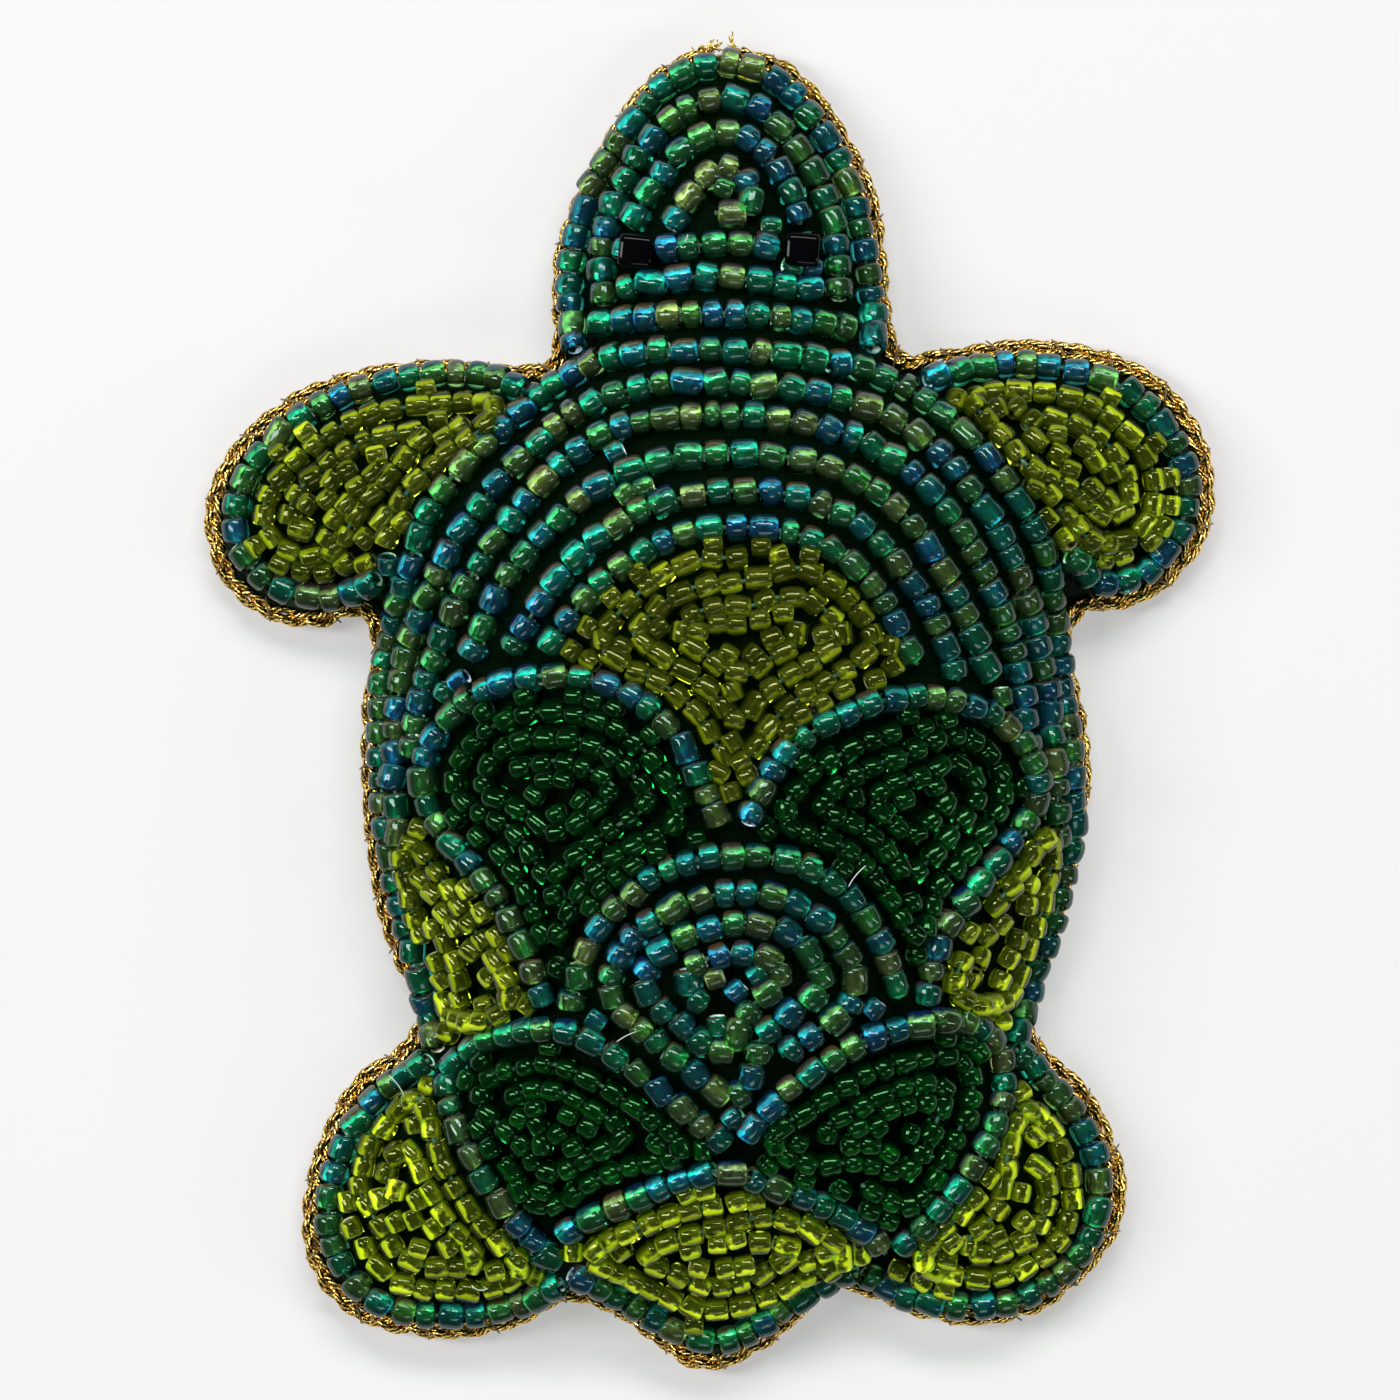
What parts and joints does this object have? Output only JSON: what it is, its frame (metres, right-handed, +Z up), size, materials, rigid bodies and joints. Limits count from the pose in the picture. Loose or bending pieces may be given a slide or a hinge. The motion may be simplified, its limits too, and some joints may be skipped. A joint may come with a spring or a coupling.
{
  "type": "beaded turtle ornament",
  "caption": "Stuffed cloth turtle covered with couched rows of green and chartreuse glass seed beads, edged with gold braid, on a flat felt back.",
  "frame": {"origin": "centre of the bounding box in plan, on the underside of the felt back", "axes": "+Z up out of the beaded face, +Y towards the head, +X towards the turtle's side that lies right when its head is up"},
  "size_m": [0.081, 0.1062, 0.0204],
  "materials": {
    "felt": "matt",
    "cloth": "matt",
    "wadding": "matt",
    "braid": "metallic thread",
    "lustre_beads": "polished, rainbow lustre",
    "dark_green_beads": "polished",
    "chartreuse_beads": "polished",
    "black_beads": "polished"
  },
  "bodies": {
    "root": {"back_panel": "felt", "front_panel": "cloth", "body_wad": "wadding", "head_wad": "wadding", "upper_left_limb_wad": "wadding", "upper_right_limb_wad": "wadding", "lower_left_limb_wad": "wadding", "lower_right_limb_wad": "wadding", "tail_wad": "wadding", "gold_braid": "braid", "collar_row_1": "lustre_beads", "collar_row_2": "lustre_beads", "collar_row_3": "lustre_beads", "collar_row_4": "lustre_beads", "collar_row_5": "lustre_beads", "collar_row_6": "lustre_beads", "upper_left_scute_outline": "lustre_beads", "upper_right_scute_outline": "lustre_beads", "centre_scute_outline": "lustre_beads", "lower_left_scute_outline": "lustre_beads", "lower_right_scute_outline": "lustre_beads", "tail_arch": "lustre_beads", "upper_left_limb_outline": "lustre_beads", "upper_right_limb_outline": "lustre_beads", "lower_left_limb_outline": "lustre_beads", "lower_right_limb_outline": "lustre_beads", "tail_row": "lustre_beads", "head_row_1": "lustre_beads", "head_row_2": "lustre_beads", "head_row_3": "lustre_beads", "head_row_4": "lustre_beads", "brow_row": "lustre_beads", "cheek_row_1": "lustre_beads", "cheek_row_2": "lustre_beads", "eye_left": "black_beads", "eye_right": "black_beads", "upper_left_scute_fill": "dark_green_beads", "upper_right_scute_fill": "dark_green_beads", "lower_left_scute_fill": "dark_green_beads", "lower_right_scute_fill": "dark_green_beads", "centre_scute_fill": "lustre_beads", "nape_fan_fill": "chartreuse_beads", "tail_lens_fill": "chartreuse_beads", "left_side_fill": "chartreuse_beads", "right_side_fill": "chartreuse_beads", "upper_left_limb_fill": "chartreuse_beads", "upper_right_limb_fill": "chartreuse_beads", "lower_left_limb_fill": "chartreuse_beads", "lower_right_limb_fill": "chartreuse_beads"}
  },
  "joints": []
}
